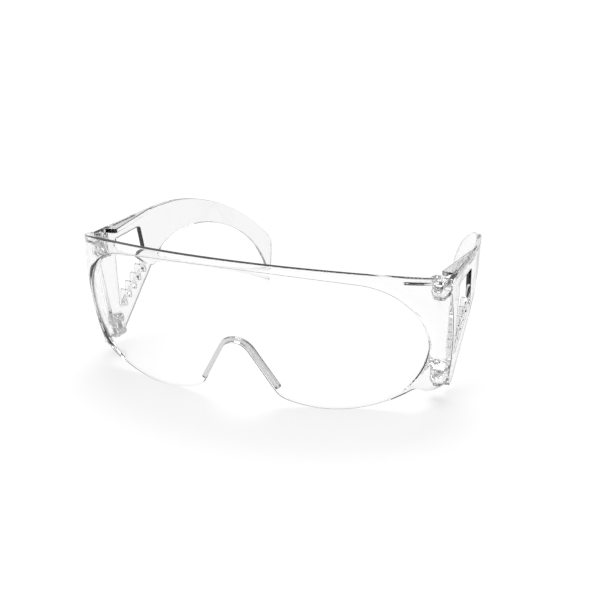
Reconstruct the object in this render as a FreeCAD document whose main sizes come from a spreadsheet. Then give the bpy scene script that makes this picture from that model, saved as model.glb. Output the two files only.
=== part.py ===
"""Clear one-piece safety glasses that fit over spectacles, in millimetres.

The glasses stand open on a table: +X is the wearer's left, -Y the way the wearer looks, +Z up.
Every piece is drawn with y = 0 at the front of the brow, and its Placement then moves it back so
that the origin is the middle of the footprint, on the table.
"""
import FreeCAD, Part
import math
import os
import Sketcher

V = FreeCAD.Vector

# ---------------------------------------------------------------- driving dimensions
# alias: (value, what it is). Lengths are millimetres and angles are degrees.
DIMENSIONS = {
    "half_depth": (75.05, "half of the overall depth, brow to ear hooks"),
    "brow_height": (61.0, "top of the brow above the table"),
    "lens_wall": (2.4, "thickness of the lens border"),
    "recess_depth": (0.5, "how far the optical zone is thinner than the border"),
    "lens_lean": (12.5, "how far the lens leans, its foot further back"),
    "side_draft": (3.4, "how far each side leans in towards its foot"),
    "brow_slope": (14.0, "fall of the brow line towards the hinges"),
    "front_radius": (118.0, "plan radius of the front"),
    "front_half": (61.5, "half width of the front arc, at the top"),
    "front_swell": (12.1, "how much larger the plan radius of the front is at mid-height"),
    "half_swell": (2.6, "how much wider the front arc is at mid-height"),
    "corner_radius": (25.0, "plan radius of the corners"),
    "corner_end": (86.0, "heading of the wall where it meets the hinge"),
    "oval_half": (70.0, "half width of the optical zone"),
    "oval_radius": (26.5, "radius of the ends of the optical zone"),
    "oval_height": (28.3, "height of the middle of the optical zone's ends"),
    "oval_crown": (290.0, "radius of the optical zone's top edge"),
    "oval_foot": (-62.0, "where each end circle of the optical zone stops, below its middle"),
    "oval_top": (57.9, "height of the optical zone's top edge in the middle"),
    "lobe_radius": (50.0, "radius of each lobe of the bottom edge"),
    "lobe_middle": (36.0, "where each lobe touches the table"),
    "side_foot": (8.5, "height of the bottom edge between a lobe and a hinge"),
    "lug_foot": (6.0, "height of the foot of the lug below each hinge"),
    "lug_half": (67.5, "half distance between the feet of the lugs, in the front view"),
    "lug_slope": (2.0, "width of the slope down to a lug"),
    "nose_radius": (6.0, "radius of the top of the nose notch"),
    "nose_top": (25.8, "height of the nose notch"),
    "nose_angle": (30.0, "lean of each leg of the nose notch"),
    "nose_round": (7.0, "rounding where a leg meets a lobe"),
    "flange_wall": (1.6, "thickness of the nose flange"),
    "flange_depth": (1.8, "how far the nose flange stands behind the lens"),
    "gusset_wall": (1.2, "thickness of each corner gusset"),
    "gusset_drop": (1.3, "how far a gusset's top is below the brow's edge"),
    "hinge_half": (69.8, "half distance between the hinge axes, at the brow's height"),
    "hinge_back": (36.3, "how far each hinge axis is behind the brow, at the brow's height"),
    "knuckle_radius": (2.2, "outside radius of a hinge knuckle"),
    "ear_wall": (1.6, "thickness of each hinge ear on the lens"),
    "ear_front": (5.0, "how far in front of its axis a hinge ear starts"),
    "ear_outside": (4.9, "how far outside its axis a hinge ear reaches into the lens wall"),
    "knuckle_gap": (0.3, "gap between an ear and the knuckle beside it"),
    "pin_radius": (0.9, "radius of a hinge pin"),
    "pin_clearance": (0.06, "running clearance of a pin in a temple's knuckle"),
    "pin_head": (0.6, "height of a pin's head"),
    "pin_head_radius": (1.5, "radius of a pin's head"),
    "upper_hinge": (44.6, "height of the underside of the upper hinge"),
    "upper_hinge_span": (6.2, "height of the upper hinge, over both ears"),
    "lower_hinge": (6.8, "height of the underside of the lower hinge"),
    "lower_hinge_span": (7.6, "height of the lower hinge, over both ears"),
    "temple_wall": (2.0, "thickness of a temple"),
    "temple_start": (34.3, "how far behind the brow a temple's wall starts, before it is trimmed"),
    "temple_outside": (6.2, "how far the outer face is outside the hinge axis, at that start"),
    "temple_heading": (4.0, "inward heading of a temple's flat side"),
    "temple_bend": (78.0, "where a temple starts to curve inward"),
    "bend_radius": (115.0, "plan radius of that curve"),
    "tip_heading": (27.0, "inward heading of the ear hook"),
    "panel_gap": (1.2, "how far behind the hinge axis a temple's front edge is"),
    "panel_top": (50.2, "height of a temple's front top corner"),
    "panel_foot": (3.0, "height of its front foot"),
    "top_end": (98.0, "where a temple's straight top edge ends"),
    "top_height": (47.2, "height of that end"),
    "top_radius": (67.0, "radius of the top edge where it falls behind the ear"),
    "tip_back": (147.5, "how far behind the brow the ear hook's tip is"),
    "arch_back": (110.0, "how far behind the brow the top of the ear's arch is"),
    "arch_height": (33.8, "height of that arch"),
    "arch_radius": (49.0, "radius of the arch in front of its top"),
    "hook_radius": (37.5, "radius of the arch behind its top"),
    "window_front": (55.0, "how far behind the brow the vent window starts"),
    "window_foot": (14.3, "height of its front foot"),
    "window_top": (43.3, "height of its top edge"),
    "window_rear": (74.0, "where its top edge ends"),
    "sill_rear": (77.5, "where its sill ends"),
    "sill_height": (27.2, "height of the sill's end"),
    "ledge_height": (48.1, "height of the underside of the ledge, at its front"),
    "ledge_tilt": (2.9, "fall of the ledge towards the rear"),
    "ledge_front": (47.0, "how far behind the brow the ledge starts"),
    "ledge_rear": (88.0, "how far behind the brow the ledge ends"),
    "ledge_width": (6.0, "width of the ledge, at its front"),
    "blade_width": (1.2, "thickness of a vent blade"),
    "blade_height": (6.0, "how far a vent blade stands above the window's sill"),
    "blade_depth": (2.8, "how far a vent blade reaches from outside to inside"),
}
BLADE_COUNT = 5
TALL = 80.0          # longer than the glasses are high
REACH = 100.0        # wider than half of the glasses
SURROUND = 300.0     # larger than the glasses every way
SKIN = 0.4           # how far below a wall's outer face a feature that stands on the wall starts
ROOT = 1.0           # how far a blade is sunk in its sill, and a bore's tool passes its hinge


def make_sheet(doc):
    """Write the driving dimensions into a spreadsheet, one aliased cell each."""
    sheet = doc.addObject("Spreadsheet::Sheet", "Sheet")
    for row, (alias, (value, note)) in enumerate(DIMENSIONS.items(), start=1):
        sheet.set("A%d" % row, note)
        sheet.set("B%d" % row, str(value))
        sheet.setAlias("B%d" % row, alias)
    doc.recompute()
    return sheet


doc = FreeCAD.newDocument("safety_glasses")
sheet = make_sheet(doc)


def size(alias):
    """The value of one driving dimension, read from the sheet."""
    return float(sheet.get(alias))


def tangent(alias):
    return math.tan(math.radians(size(alias)))


def turned(heading):
    """Unit vector in a plan, turned from +X by heading degrees."""
    return V(math.cos(math.radians(heading)), math.sin(math.radians(heading)), 0)


# ---------------------------------------------------------------- shared geometry
def lens_shift(height):
    """How far back the lens is, at a height, because it leans."""
    return (size("brow_height") - height) * tangent("lens_lean")


def side_shift(height):
    """How far in each side is, at a height, because of its draft."""
    return (size("brow_height") - height) * tangent("side_draft")


def swell(height):
    """How much of the lens's barrel swell there is, at a height: none at the brow and the table."""
    middle = size("brow_height") / 2
    return 1 - ((height - middle) / middle) ** 2


def hinge_point(side, height):
    """A point on a hinge axis. side is 1 on the wearer's left and -1 on the right."""
    x = size("hinge_half") - side_shift(height)
    return V(side * x, size("hinge_back") + lens_shift(height), height)


def hinge_axis(side):
    return (hinge_point(side, 1.0) - hinge_point(side, 0.0)).normalize()


def hinge_placement(side, height):
    """A frame on a hinge axis, square to it, whose Y still points backwards."""
    axis = hinge_axis(side)
    across = V(0, 1, 0).cross(axis).normalize()
    back = axis.cross(across)
    return FreeCAD.Placement(hinge_point(side, height), FreeCAD.Rotation(across, back, axis, "ZXY"))


# ---------------------------------------------------------------- sketch and feature helpers
def new_body(label):
    """A body for one piece, moved back so that the origin is the middle of the footprint."""
    body = doc.addObject("PartDesign::Body", label)
    body.Label = label
    body.Placement = FreeCAD.Placement(V(0, -size("half_depth"), 0), FreeCAD.Rotation())
    body.setExpression("Placement.Base.y", "-Sheet.half_depth")
    return body


def new_tool(label):
    """A body that is cut from or joined to another, in that body's own frame."""
    return doc.addObject("PartDesign::Body", label)


def new_sketch(body, name, role, offset=None):
    """A sketch on one of the body's own origin planes, moved off it by offset."""
    sketch = body.newObject("Sketcher::SketchObject", name)
    plane = next(item for item in body.Origin.OriginFeatures if item.Role == role)
    sketch.AttachmentSupport = [(plane, "")]
    sketch.MapMode = "FlatFace"
    if offset is not None:
        sketch.AttachmentOffset = offset
    return sketch


def raised(height):
    return FreeCAD.Placement(V(0, 0, height), FreeCAD.Rotation())


def new_edge(start, step):
    """A line, or an arc drawn anticlockwise, which is how a sketch keeps its arcs."""
    if len(step) == 1:
        return Part.LineSegment(start, step[0])
    end, through = step
    if (through - start).cross(end - through).z < 0:
        start, end = end, start
    return Part.Arc(start, through, end)


def draw_chain(sketch, start, steps):
    """Draw a closed chain and return its edges' numbers. A step is (end,) or (end, through)."""
    edges = []
    here = start
    for step in steps:
        edges.append(sketch.addGeometry(new_edge(here, step)))
        here = step[0]
    joints = []
    for number, edge in enumerate(edges):
        following = edges[(number + 1) % len(edges)]
        point = steps[number][0]
        joints.append((edge, end_at(sketch, edge, point), following, end_at(sketch, following, point)))
    for joint in joints:
        sketch.addConstraint(Sketcher.Constraint("Coincident", *joint))
    return edges


def end_at(sketch, edge, point):
    """1 or 2: which end of an edge lies at a point."""
    geometry = sketch.Geometry[edge]
    from_start = geometry.StartPoint.distanceToPoint(point)
    return 1 if from_start < geometry.EndPoint.distanceToPoint(point) else 2


def bind(sketch, kind, where, value, name, expression):
    """Add a dimension to a sketch and drive it from the sheet."""
    number = sketch.addConstraint(Sketcher.Constraint(kind, *where, value))
    sketch.renameConstraint(number, name)
    sketch.setExpression("Constraints." + name, expression)


def bind_radius(sketch, edge, name, expression, value):
    bind(sketch, "Radius", (edge,), value, name, expression)


def draw_surround(sketch):
    """A rectangle round everything, so that a pocket keeps only what the sketch's other chain holds."""
    far = SURROUND
    corners = [V(-far, -far, 0), V(far, -far, 0), V(far, far, 0), V(-far, far, 0)]
    draw_chain(sketch, corners[3], [(corner,) for corner in corners])


def draw_circle(sketch, radius, expression):
    circle = sketch.addGeometry(Part.Circle(V(0, 0, 0), V(0, 0, 1), radius))
    sketch.addConstraint(Sketcher.Constraint("Coincident", circle, 3, -1, 1))
    bind_radius(sketch, circle, "radius", expression, radius)


def new_pad(body, name, sketch, length, expression=None, direction=None):
    pad = body.newObject("PartDesign::Pad", name)
    pad.Profile = sketch
    pad.Length = length
    if expression is not None:
        pad.setExpression("Length", expression)
    if direction is not None:
        pad.UseCustomVector = True
        pad.AlongSketchNormal = True
        pad.Direction = direction
    doc.recompute()
    return pad


def new_pocket(body, name, sketch):
    """Cut a sketch right through the body, both ways, and make sure that it cut something."""
    before = body.Shape.Volume
    pocket = body.newObject("PartDesign::Pocket", name)
    pocket.Profile = sketch
    pocket.Type = "ThroughAll"
    pocket.Midplane = True
    doc.recompute()
    if not pocket.Shape.Volume < before - 1e-3:
        raise RuntimeError(name + " cuts nothing")
    return pocket


def combine(body, name, kind, tools):
    boolean = body.newObject("PartDesign::Boolean", name)
    boolean.setObjects(tools)
    boolean.Type = kind
    doc.recompute()
    return boolean


# ---------------------------------------------------------------- the lens
def wall_points(height, inset):
    """Points of the lens wall in plan, right half, inset from its outer face.

    Returns the middle of the front, where the corner starts, the middle of the corner and the
    wall's end.
    """
    half = size("front_half") - side_shift(height) + size("half_swell") * swell(height)
    front = size("front_radius") + size("front_swell") * swell(height)
    corner = size("corner_radius")
    turn = math.degrees(math.asin(half / front))
    centre = V(0, lens_shift(height) + front, 0)
    corner_centre = centre + turned(turn - 90) * (front - corner)
    middle = centre + turned(-90) * (front - inset)
    start = centre + turned(turn - 90) * (front - inset)
    bend = corner_centre + turned((turn + size("corner_end")) / 2 - 90) * (corner - inset)
    end = corner_centre + turned(size("corner_end") - 90) * (corner - inset)
    return middle, start, bend, end


def mirrored(point):
    return V(-point.x, point.y, point.z)


def wall_sketch(body, name, height, outer, inner):
    """The plan of the wall between two insets, at one height."""
    sketch = new_sketch(body, name, "XY_Plane", raised(height))
    mid_out, start_out, bend_out, end_out = wall_points(height, outer)
    mid_in, start_in, bend_in, end_in = wall_points(height, inner)
    steps = [(start_out, mid_out), (end_out, bend_out), (end_in,), (start_in, bend_in),
             (mirrored(start_in), mid_in), (mirrored(end_in), mirrored(bend_in)),
             (mirrored(end_out),), (mirrored(start_out), mirrored(bend_out))]
    edges = draw_chain(sketch, mirrored(start_out), steps)
    front = size("front_radius") + size("front_swell") * swell(height) - outer
    bind_radius(sketch, edges[0], "front",
                "Sheet.front_radius + Sheet.front_swell * %g - %g" % (swell(height), outer), front)
    bind_radius(sketch, edges[1], "corner", "Sheet.corner_radius - %g" % outer,
                size("corner_radius") - outer)
    return sketch


def wall_loft(body, name, outer, inner):
    """The leaning, swelling wall between two insets, from the brow's height to the table."""
    brow = size("brow_height")
    top = wall_sketch(body, name + "_top", brow, outer, inner)
    waist = wall_sketch(body, name + "_waist", brow / 2, outer, inner)
    foot = wall_sketch(body, name + "_foot", 0.0, outer, inner)
    loft = body.newObject("PartDesign::AdditiveLoft", name)
    loft.Profile = top
    loft.Sections = [waist, foot]
    loft.Ruled = False
    doc.recompute()
    return loft


def nose_points():
    """The nose notch in the front view: its top, its side, the leg's end and the rounding."""
    radius = size("nose_radius")
    fillet = size("nose_round")
    out = turned(size("nose_angle"))
    down = turned(size("nose_angle") - 90)
    top = V(0, size("nose_top"), 0)
    side = top - V(0, radius, 0) + out * radius
    # The rounding's centre is one fillet from the leg and from the lobe's circle, inside both.
    lobe = V(size("lobe_middle"), size("lobe_radius"), 0)
    near = size("lobe_radius") - fillet
    start = side + out * fillet - lobe
    along = -start.dot(down) + math.sqrt(start.dot(down) ** 2 - start.dot(start) + near ** 2)
    centre = lobe + start + down * along
    leg_end = centre - out * fillet
    away = (centre - lobe).normalize()
    knee = centre + (away - out).normalize() * fillet
    return top, side, leg_end, knee, centre + away * fillet


def cut_bottom_edge(body):
    """Shape the bottom edge: two lobes that meet in the nose notch, low sides and a lug at each hinge."""
    top, side, leg_end, knee, lobe_start = nose_points()
    foot = size("side_foot")
    radius = size("lobe_radius")
    lobe_end = V(size("lobe_middle") + math.sqrt(radius ** 2 - (radius - foot) ** 2), foot, 0)
    lobe_foot = V(size("lobe_middle"), 0, 0)
    step = V(size("lug_half") - size("lug_slope"), foot, 0)
    lug = V(size("lug_half"), size("lug_foot"), 0)
    far = V(REACH, size("lug_foot"), 0)
    floor = V(REACH, -TALL, 0)
    sketch = new_sketch(body, "bottom_edge", "XZ_Plane")
    right = [(lug,), (step,), (lobe_end,), (lobe_start, lobe_foot), (leg_end, knee), (side,)]
    left = [(mirrored(leg_end),), (mirrored(lobe_start), mirrored(knee)),
            (mirrored(lobe_end), mirrored(lobe_foot)), (mirrored(step),), (mirrored(lug),),
            (mirrored(far),), (mirrored(floor),), (floor,), (far,)]
    edges = draw_chain(sketch, far, right + [(mirrored(side), top)] + left)
    lobe, fillet, notch = edges[3], edges[4], edges[6]
    bind_radius(sketch, lobe, "lobe", "Sheet.lobe_radius", radius)
    bind_radius(sketch, fillet, "round", "Sheet.nose_round", size("nose_round"))
    bind_radius(sketch, notch, "notch", "Sheet.nose_radius", size("nose_radius"))
    new_pocket(body, "bottom_cut", sketch)


def cut_brow_line(body):
    """Slope the top edge down from the brow to the hinges."""
    ahead = V(-REACH, size("brow_height") + REACH * tangent("brow_slope"), 0)
    behind = V(REACH, size("brow_height") - REACH * tangent("brow_slope"), 0)
    sketch = new_sketch(body, "brow_line", "YZ_Plane")
    draw_chain(sketch, ahead, [(behind,), (V(REACH, 2 * TALL, 0),), (V(-REACH, 2 * TALL, 0),), (ahead,)])
    new_pocket(body, "brow_cut", sketch)


def make_recess_tool():
    """What is cut off the front to leave the thinner optical zone inside its raised border."""
    body = new_tool("recess_tool")
    wall_loft(body, "recess", -size("lens_wall"), size("recess_depth"))
    radius = size("oval_radius")
    centre = V(size("oval_half") - radius, size("oval_height"), 0)
    crown = V(0, size("oval_top") - size("oval_crown"), 0)
    # The end circle meets the crown arc where the line from the crown's centre crosses it.
    join = centre + (centre - crown).normalize() * radius
    top = crown + V(0, (join - crown).Length, 0)
    side = centre + V(radius, 0, 0)
    end = centre + turned(size("oval_foot")) * radius
    below = V(end.x, -TALL, 0)
    sketch = new_sketch(body, "oval", "XZ_Plane")
    edges = draw_chain(sketch, mirrored(join), [
        (join, top), (end, side), (below,), (mirrored(below),), (mirrored(end),),
        (mirrored(join), mirrored(side))])
    bind_radius(sketch, edges[1], "end", "Sheet.oval_radius", radius)
    draw_surround(sketch)
    new_pocket(body, "oval_keep", sketch)
    return body


def make_flange_tool():
    """The nose flange: a wall round the notch that stands out behind the lens."""
    body = new_tool("nose_flange")
    top, side, leg_end, knee, lobe_start = nose_points()
    wall = size("flange_wall")
    outward = turned(size("nose_angle")) * wall
    sketch = new_sketch(body, "flange_band", "XZ_Plane")
    edges = draw_chain(sketch, leg_end, [
        (side,), (mirrored(side), top), (mirrored(leg_end),), (mirrored(leg_end + outward),),
        (mirrored(side + outward),), (side + outward, top + V(0, wall, 0)), (leg_end + outward,),
        (leg_end,)])
    bind_radius(sketch, edges[1], "notch", "Sheet.nose_radius", size("nose_radius"))
    bind_radius(sketch, edges[5], "outside", "Sheet.nose_radius + Sheet.flange_wall",
                size("nose_radius") + wall)
    pad = new_pad(body, "flange", sketch, 2 * REACH)
    pad.Midplane = True
    # Keep only the leaning strip from inside the wall to the flange's free edge.
    start = (size("recess_depth") + size("lens_wall")) / 2
    stop = size("lens_wall") + size("flange_depth")
    low = lens_shift(-TALL)
    high = lens_shift(TALL)
    trim = new_sketch(body, "flange_depth", "YZ_Plane")
    draw_chain(trim, V(low + start, -TALL, 0), [
        (V(low + stop, -TALL, 0),), (V(high + stop, TALL, 0),), (V(high + start, TALL, 0),),
        (V(low + start, -TALL, 0),)])
    draw_surround(trim)
    new_pocket(body, "flange_trim", trim)
    return body


def gusset_height(y):
    """Height of a gusset's underside, which falls to the rear as the brow does."""
    return size("brow_height") - size("gusset_drop") - size("gusset_wall") - y * tangent("brow_slope")


def gusset_point(number):
    """One of the wall's points, in the middle of the wall, at the height of the gusset there."""
    height = size("brow_height")
    for _ in range(9):
        point = wall_points(height, size("lens_wall") / 2)[number]
        height = gusset_height(point.y)
    return point


def add_gusset(body, side):
    """The sloping web across the inside of a top corner, beside the upper hinge."""
    start, bend, end = (gusset_point(number) for number in (1, 2, 3))
    hinge = hinge_point(1, gusset_height(end.y))
    chord = hinge - V(size("knuckle_radius"), size("knuckle_radius"), 0)
    # The sketch's own y runs down the slope, so lengths along it are longer than in plan.
    slope = 1 / math.cos(math.radians(size("brow_slope")))
    start, chord, end, bend = [V(side * p.x, p.y * slope, 0) for p in (start, chord, end, bend)]
    tilt = FreeCAD.Rotation(V(1, 0, 0), -size("brow_slope"))
    place = FreeCAD.Placement(V(0, 0, gusset_height(0)), tilt)
    sketch = new_sketch(body, "gusset_plan_%s" % side_name(side), "XY_Plane", place)
    draw_chain(sketch, start, [(chord,), (end,), (start, bend)])
    new_pad(body, "gusset_%s" % side_name(side), sketch, size("gusset_wall"), "Sheet.gusset_wall")


def side_name(side):
    return "left" if side > 0 else "right"


def add_ear(body, side, height, name):
    """One hinge ear: a round eye on the axis, joined to the end of the lens wall beside it."""
    radius = size("knuckle_radius")
    front = -size("ear_front")
    outside = size("ear_outside")
    shoulder, back = turned(45) * radius, turned(115) * radius
    outline = [V(-radius, 0, 0), V(-radius, -radius / 2, 0), V(0, front, 0), V(outside - 1, front, 0),
               V(outside, 0, 0), shoulder]
    start, *corners, back = [V(side * point.x, point.y, 0) for point in outline + [back]]
    sketch = new_sketch(body, "ear_plan_" + name, "XY_Plane", hinge_placement(side, height))
    edges = draw_chain(sketch, start, [(corner,) for corner in corners] + [(start, back)])
    bind_radius(sketch, edges[-1], "eye", "Sheet.knuckle_radius", radius)
    new_pad(body, "ear_" + name, sketch, size("ear_wall"), "Sheet.ear_wall")


def bore_hinge(body, side, where, radius, expression):
    """Bore a pin's hole right through one hinge, from below it to above it."""
    start = size(where + "_hinge") - ROOT
    sketch = new_sketch(body, "bore_plan_%s_%s" % (where, side_name(side)), "XY_Plane",
                        hinge_placement(side, start))
    draw_circle(sketch, radius, expression)
    before = body.Shape.Volume
    pocket = body.newObject("PartDesign::Pocket", "bore_%s_%s" % (where, side_name(side)))
    pocket.Profile = sketch
    pocket.Length = size(where + "_hinge_span") + 2.5 * ROOT
    pocket.Reversed = True
    doc.recompute()
    if not pocket.Shape.Volume < before - 1e-3:
        raise RuntimeError("a hinge bore cuts nothing")


def make_lens():
    body = new_body("lens_shield")
    wall_loft(body, "wall", 0.0, size("lens_wall"))
    cut_bottom_edge(body)
    cut_brow_line(body)
    combine(body, "optical_zone", "Cut", [make_recess_tool()])
    combine(body, "with_flange", "Fuse", [make_flange_tool()])
    for side in (1, -1):
        add_gusset(body, side)
        for where in ("upper", "lower"):
            low = size(where + "_hinge")
            high = low + size(where + "_hinge_span") - size("ear_wall")
            add_ear(body, side, low, "%s_%s_below" % (where, side_name(side)))
            add_ear(body, side, high, "%s_%s_above" % (where, side_name(side)))
            bore_hinge(body, side, where, size("pin_radius"), "Sheet.pin_radius")
    return body


# ---------------------------------------------------------------- the temples
def panel_face(y, height):
    """How far out a temple's outer face is, at a place of its flat side."""
    start = size("hinge_half") + size("temple_outside") - side_shift(height)
    return start - (y - size("temple_start")) * tangent("temple_heading")


def temple_path(inset):
    """Plan of a temple's face, inset from the outer one, at the brow's height, +X side."""
    heading = 90 + size("temple_heading")
    start = V(panel_face(size("temple_start"), size("brow_height")), size("temple_start"), 0)
    run = (size("temple_bend") - size("temple_start")) / math.sin(math.radians(heading))
    centre = start + turned(heading) * run + turned(heading + 90) * size("bend_radius")
    last = 90 + size("tip_heading")
    radius = size("bend_radius") - inset
    points = [start + turned(heading + 90) * inset, centre + turned(heading - 90) * radius,
              centre + turned((heading + last) / 2 - 90) * radius, centre + turned(last - 90) * radius]
    return points + [points[3] + turned(last) * REACH]


def add_temple_wall(body, side):
    """The curved upright wall that the temple is cut out of."""
    outer = [V(side * point.x, point.y, 0) for point in temple_path(0.0)]
    inner = [V(side * point.x, point.y, 0) for point in temple_path(size("temple_wall"))]
    sketch = new_sketch(body, "wall_plan", "XY_Plane", raised(size("brow_height")))
    edges = draw_chain(sketch, outer[0], [
        (outer[1],), (outer[3], outer[2]), (outer[4],), (inner[4],), (inner[3],), (inner[1], inner[2]),
        (inner[0],), (outer[0],)])
    bind_radius(sketch, edges[1], "outer_bend", "Sheet.bend_radius", size("bend_radius"))
    bind_radius(sketch, edges[5], "inner_bend", "Sheet.bend_radius - Sheet.temple_wall",
                size("bend_radius") - size("temple_wall"))
    down = V(-side * tangent("side_draft"), 0, -1)
    new_pad(body, "wall", sketch, TALL, direction=down)


def cut_temple_outline(body):
    """The side view: a tall front panel, an arched band over the ear and a hook behind it."""
    gap = size("panel_gap")
    top, foot = size("panel_top"), size("panel_foot")
    front_top = V(hinge_point(1, top).y + gap, top, 0)
    front_foot = V(hinge_point(1, foot).y + gap, foot, 0)
    toe = front_foot + V(3.5, -0.6, 0)
    top_end = V(size("top_end"), size("top_height"), 0)
    # The straight top edge runs into the falling arc, whose centre is square to it.
    fall = math.degrees(math.atan2(front_top.y - top_end.y, top_end.x - front_top.x))
    top_centre = top_end - turned(90 - fall) * size("top_radius")
    top_bend, top_stop = (top_centre + turned(angle) * size("top_radius") for angle in (56, 34))
    tip = V(size("tip_back"), 0, 0)
    tip_bend = tip + V(1.8, 8.5, 0)
    peak = V(size("arch_back"), size("arch_height"), 0)
    hook_centre = peak - V(0, size("hook_radius"), 0)
    hook_end, hook_bend = (hook_centre + turned(angle) * size("hook_radius") for angle in (10, 50))
    arch_centre = peak - V(0, size("arch_radius"), 0)
    arch_bend, arch_start = (arch_centre + turned(angle) * size("arch_radius") for angle in (109, 128))
    sketch = new_sketch(body, "outline", "YZ_Plane")
    draw_chain(sketch, front_foot, [
        (front_top,), (top_end,), (top_stop, top_bend), (tip, tip_bend), (hook_end,),
        (peak, hook_bend), (arch_start, arch_bend), (toe,), (front_foot,)])
    draw_surround(sketch)
    new_pocket(body, "outline_cut", sketch)


def window_corners():
    """The vent window in the side view: front foot, front top, rear top, rear foot."""
    return (V(size("window_front"), size("window_foot"), 0), V(size("window_front"), size("window_top"), 0),
            V(size("window_rear"), size("window_top"), 0), V(size("sill_rear"), size("sill_height"), 0))


def cut_window(body):
    sketch = new_sketch(body, "window", "YZ_Plane")
    front_foot, front_top, rear_top, rear_foot = window_corners()
    draw_chain(sketch, front_foot, [(front_top,), (rear_top,), (rear_foot,), (front_foot,)])
    new_pocket(body, "window_cut", sketch)


def add_blades(body, side):
    """Upright vent blades that stand on the window's slanting sill."""
    foot, front_top, rear_top, rear = window_corners()
    sill = (rear.y - foot.y) / (rear.x - foot.x)
    pitch = (rear.x - foot.x) / (BLADE_COUNT + 0.5)
    width = size("blade_width")
    up = V(side * tangent("side_draft"), 0, 1)
    for number in range(BLADE_COUNT):
        y = foot.x + pitch * (number + 0.5)
        base = foot.y + sill * (y - foot.x) - ROOT
        outer = side * (panel_face(y, base) - SKIN)
        inner = outer - side * size("blade_depth")
        sketch = new_sketch(body, "blade_plan_%d" % (number + 1), "XY_Plane", raised(base))
        draw_chain(sketch, V(outer, y, 0), [
            (V(outer, y + width, 0),), (V(inner, y + width, 0),), (V(inner, y, 0),), (V(outer, y, 0),)])
        new_pad(body, "blade_%d" % (number + 1), sketch, size("blade_height") + ROOT, direction=up)


def add_ledge(body, side):
    """The inward ledge along the top of the front panel, which narrows to nothing at the rear."""
    height = size("ledge_height")
    front, rear = size("ledge_front"), size("ledge_rear")
    outer = panel_face(front, height) - SKIN
    last = panel_face(rear, height) - size("temple_wall") + SKIN
    inner = outer - size("ledge_width")
    tilt = FreeCAD.Rotation(V(1, 0, 0), -size("ledge_tilt"))
    sketch = new_sketch(body, "ledge_plan", "XY_Plane", FreeCAD.Placement(V(0, front, height), tilt))
    draw_chain(sketch, V(side * outer, 0, 0), [
        (V(side * last, rear - front, 0),), (V(side * inner, ROOT, 0),), (V(side * outer, 0, 0),)])
    new_pad(body, "ledge", sketch, size("temple_wall"), "Sheet.temple_wall")


def add_knuckle(body, side, where):
    """A temple's knuckle: it fills the gap between the lens's two ears and joins the panel."""
    radius = size("knuckle_radius")
    skip = size("ear_wall") + size("knuckle_gap")
    height = size(where + "_hinge") + skip
    axis = hinge_point(1, height)
    reach = panel_face(axis.y, height) - axis.x - 2 * SKIN
    web_front, web_back = 1.5, 6.5
    outline = [turned(-90) * radius, turned(90) * radius, V(reach - radius, web_back, 0),
               V(reach, web_back, 0), V(reach, web_front, 0), turned(40) * radius,
               turned(180) * radius, turned(-25) * radius]
    front, back, slant, rear, nose, shoulder, inside, outside = [V(side * p.x, p.y, 0) for p in outline]
    sketch = new_sketch(body, "knuckle_plan_" + where, "XY_Plane", hinge_placement(side, height))
    edges = draw_chain(sketch, front, [
        (back, inside), (slant,), (rear,), (nose,), (shoulder,), (front, outside)])
    bind_radius(sketch, edges[0], "eye", "Sheet.knuckle_radius", radius)
    length = size(where + "_hinge_span") - 2 * skip
    new_pad(body, "knuckle_" + where, sketch, length,
            "Sheet.%s_hinge_span - 2 * (Sheet.ear_wall + Sheet.knuckle_gap)" % where)


def make_temple(side):
    body = new_body(side_name(side) + "_temple")
    add_temple_wall(body, side)
    cut_temple_outline(body)
    cut_window(body)
    add_blades(body, side)
    add_ledge(body, side)
    for where in ("upper", "lower"):
        add_knuckle(body, side, where)
        bore_hinge(body, side, where, size("pin_radius") + size("pin_clearance"),
                   "Sheet.pin_radius + Sheet.pin_clearance")
    return body


# ---------------------------------------------------------------- the hinge pins
def make_pin(side, where):
    """A headed pin that is pressed into both ears of one hinge."""
    body = new_body("%s_%s_hinge_pin" % (side_name(side), where))
    foot = hinge_placement(side, size(where + "_hinge"))
    span = (size(where + "_hinge_span") - size("ear_wall")) / hinge_axis(side).z + size("ear_wall")
    shank = new_sketch(body, "shank_plan", "XY_Plane", foot)
    draw_circle(shank, size("pin_radius"), "Sheet.pin_radius")
    new_pad(body, "shank", shank, span)
    for name, along in (("foot_head", -size("pin_head")), ("top_head", span)):
        place = foot.multiply(raised(along))
        plan = new_sketch(body, name + "_plan", "XY_Plane", place)
        draw_circle(plan, size("pin_head_radius"), "Sheet.pin_head_radius")
        new_pad(body, name, plan, size("pin_head"), "Sheet.pin_head")
    return body


# ---------------------------------------------------------------- build, check and write
def check_document():
    """Stop if any object of the document failed to recompute."""
    for item in doc.Objects:
        if "Invalid" in item.State or "Error" in item.State:
            raise RuntimeError("%s failed: %s" % (item.Name, item.State))


def write_steps(pieces):
    for piece in pieces:
        if piece.Shape.isNull() or not piece.Shape.isValid() or len(piece.Shape.Solids) != 1:
            raise RuntimeError("%s is not one valid solid" % piece.Label)
    os.makedirs("parts", exist_ok=True)
    for piece in pieces:
        piece.Shape.exportStep("parts/%s.step" % piece.Label)
        print(piece.Label, round(piece.Shape.Volume), piece.Shape.BoundBox)


pieces = [make_lens()]
for side in (1, -1):
    pieces.append(make_temple(side))
    for where in ("upper", "lower"):
        pieces.append(make_pin(side, where))
doc.recompute()
check_document()
write_steps(pieces)
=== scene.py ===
"""Clear safety glasses that fit over spectacles, on a white table.

Each moulding is drawn flat as an outline, filled with triangles, bent onto its curved wall and given
rounded rims. Lengths are millimetres and angles are degrees, until a mesh is made in metres. Points
have y = 0 at the front of the brow, as in the CAD source, and move back when a mesh is made.
"""

import math

import bmesh
import bpy
import numpy as np
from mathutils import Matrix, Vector
from mathutils.geometry import delaunay_2d_cdt


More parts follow.
